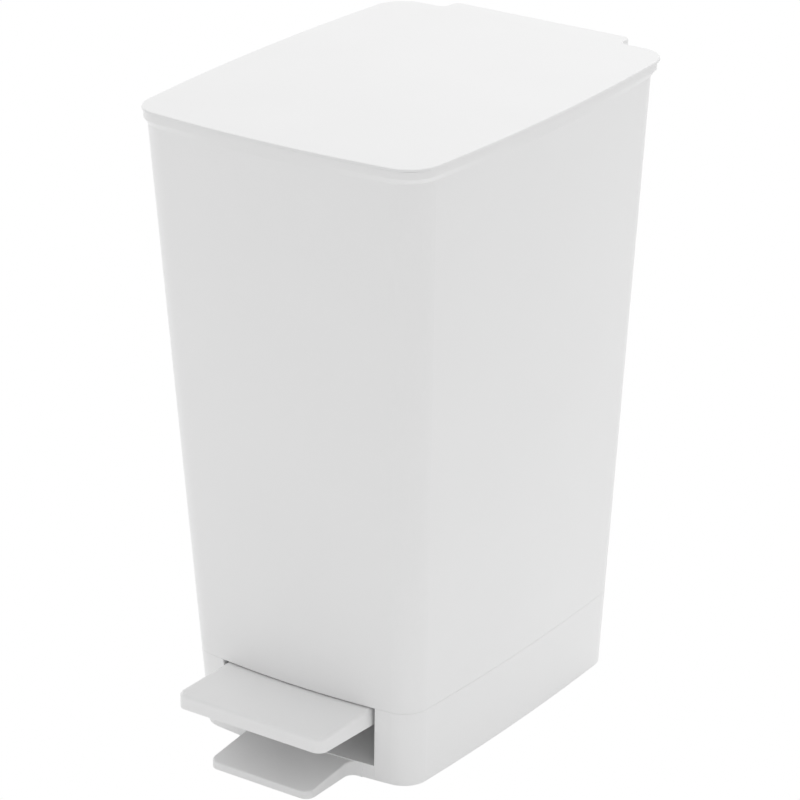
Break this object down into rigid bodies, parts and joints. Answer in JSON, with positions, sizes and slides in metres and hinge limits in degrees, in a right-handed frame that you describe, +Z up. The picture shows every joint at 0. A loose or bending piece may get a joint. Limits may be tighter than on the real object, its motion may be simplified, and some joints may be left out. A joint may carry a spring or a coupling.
{
  "type": "pedal trash can",
  "caption": "Tapered slim waste bin: a pedal at the foot opens a flat rear-hinged lid through a push rod, and an inner bucket with a bail handle stands inside.",
  "frame": {"origin": "on the ground, below the middle of the overall width and depth", "axes": "+Z up, front with the pedal towards -Y, +X to the right seen from the front"},
  "size_m": [0.24, 0.347, 0.45],
  "materials": {
    "white_shell": "satin moulded polypropylene",
    "white_base": "satin moulded polypropylene",
    "white_lid": "satin moulded polypropylene",
    "white_pedal": "satin moulded polypropylene",
    "steel_rod": "drawn wire",
    "nylon": "natural nylon",
    "bucket_plastic": "matte polypropylene",
    "handle_plastic": "matte polypropylene",
    "foot_rubber": "matte",
    "buffer_rubber": "matte",
    "zinc_screw": "zinc plated"
  },
  "bodies": {
    "root": {"outer_body": "white_shell", "base": "white_base", "hinge_rod": "steel_rod", "pedal_axle": "steel_rod", "rod_guide_lower": "nylon", "rod_guide_middle": "nylon", "rod_guide_upper": "nylon", "foot_front_left": "foot_rubber", "foot_front_right": "foot_rubber", "foot_rear_left": "foot_rubber", "foot_rear_right": "foot_rubber", "base_screws": "zinc_screw", "hinge_rod_clips": "zinc_screw", "axle_clips": "zinc_screw"},
    "lid": {"lid": "white_lid", "lid_buffer_left": "buffer_rubber", "lid_buffer_right": "buffer_rubber"},
    "push_rod": {"push_rod": "steel_rod", "rod_head_cap": "nylon", "rod_foot_cap": "nylon"},
    "pedal": {"pedal": "white_pedal"},
    "bucket": {"inner_bucket": "bucket_plastic"},
    "handle": {"bucket_handle": "handle_plastic"}
  },
  "joints": [
    {"name": "lid_hinge", "type": "hinge", "parent": "root", "child": "lid", "pos_m": [0, 0.1635, 0.44], "axis": [-1, 0, 0], "range_deg": [0, 75]},
    {"name": "push_rod_slide", "type": "slide", "parent": "root", "child": "push_rod", "axis": [0, 0.0369, 0.9993], "range_m": [0, 0.03249]},
    {"name": "pedal_hinge", "type": "hinge", "parent": "root", "child": "pedal", "pos_m": [0, -0.0435, 0.036], "axis": [1, 0, 0], "range_deg": [0, 11]},
    {"name": "bucket_lift", "type": "slide", "parent": "root", "child": "bucket", "axis": [0, 0, 1], "range_m": [0, 0.008]},
    {"name": "handle_swing", "type": "hinge", "parent": "bucket", "child": "handle", "pos_m": [0, -0.0045, 0.419], "axis": [-1, 0, 0], "range_deg": [0, 4]}
  ],
  "couplings": [
    {"joint": "push_rod_slide", "follows": "lid_hinge", "m_per_rad": 0.024665},
    {"joint": "pedal_hinge", "follows": "lid_hinge", "ratio": 0.14603}
  ]
}
